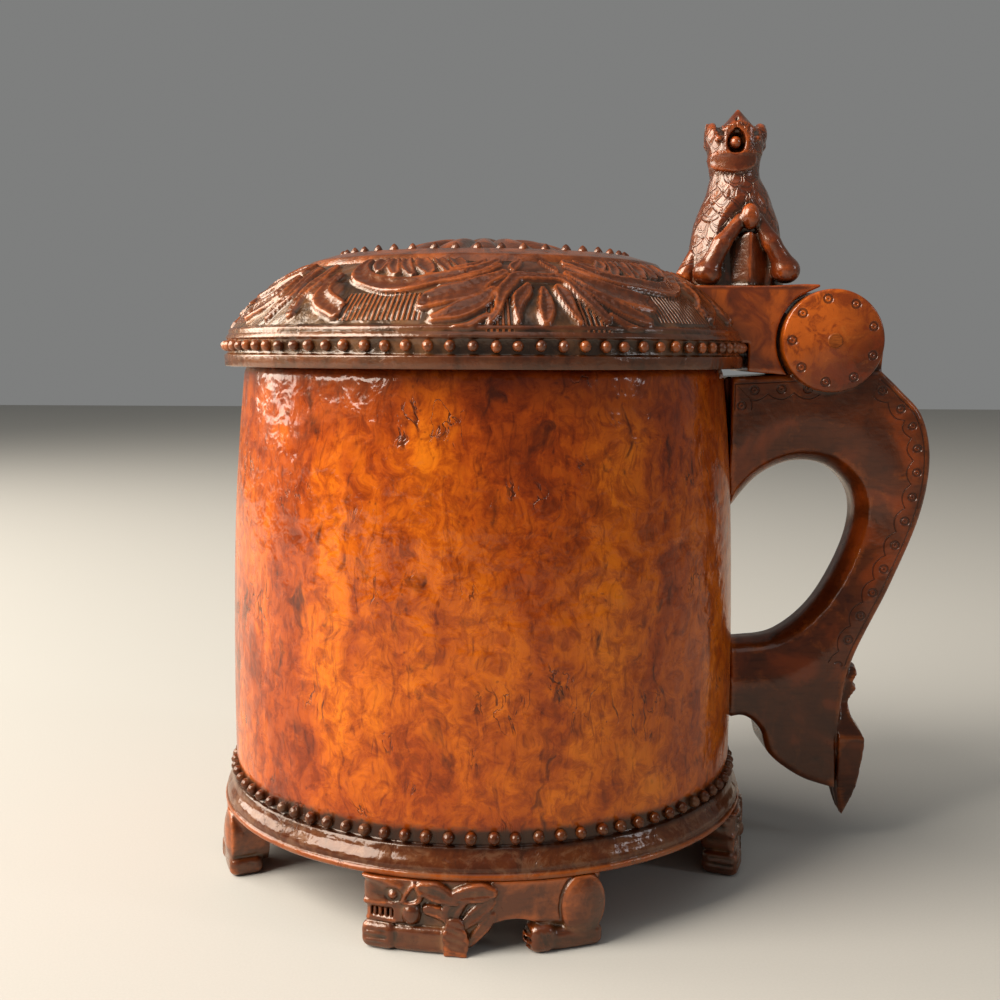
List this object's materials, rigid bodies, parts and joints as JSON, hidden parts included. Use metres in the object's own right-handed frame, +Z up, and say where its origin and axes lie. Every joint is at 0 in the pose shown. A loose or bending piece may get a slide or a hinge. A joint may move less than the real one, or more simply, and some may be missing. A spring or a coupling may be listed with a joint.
{
  "type": "peg tankard",
  "caption": "Carved burr-birch peg tankard with a domed hinged lid, a beast thumbpiece, a scrolled side handle and crouching lion feet.",
  "frame": {"origin": "on the floor under the middle of the whole tankard, from the outer side of the left foot to the back of the handle; the vessel's axis is 28.6 mm towards -X", "axes": "+Z up, +X from the vessel towards the handle, -Y the side that the picture shows"},
  "size_m": [0.2326, 0.1752, 0.2439],
  "materials": {
    "burr_birch": "polished",
    "carved_birch": "polished",
    "handle_birch": "polished",
    "turned_pegs": "satin"
  },
  "bodies": {
    "tankard": {"vessel": "burr_birch", "handle": "handle_birch", "hinge_pin": "turned_pegs", "measuring_pegs": "turned_pegs", "handle_pegs": "turned_pegs", "foot_front": "carved_birch", "foot_right": "carved_birch", "foot_back": "carved_birch", "foot_left": "carved_birch"},
    "lid": {"lid": "carved_birch", "lid_arm": "carved_birch", "lid_pegs": "turned_pegs"}
  },
  "joints": [
    {"name": "lid_hinge", "type": "hinge", "parent": "tankard", "child": "lid", "pos_m": [0.08167, 0, 0.1701], "axis": [0, 1, 0], "range_deg": [0, 105]}
  ]
}
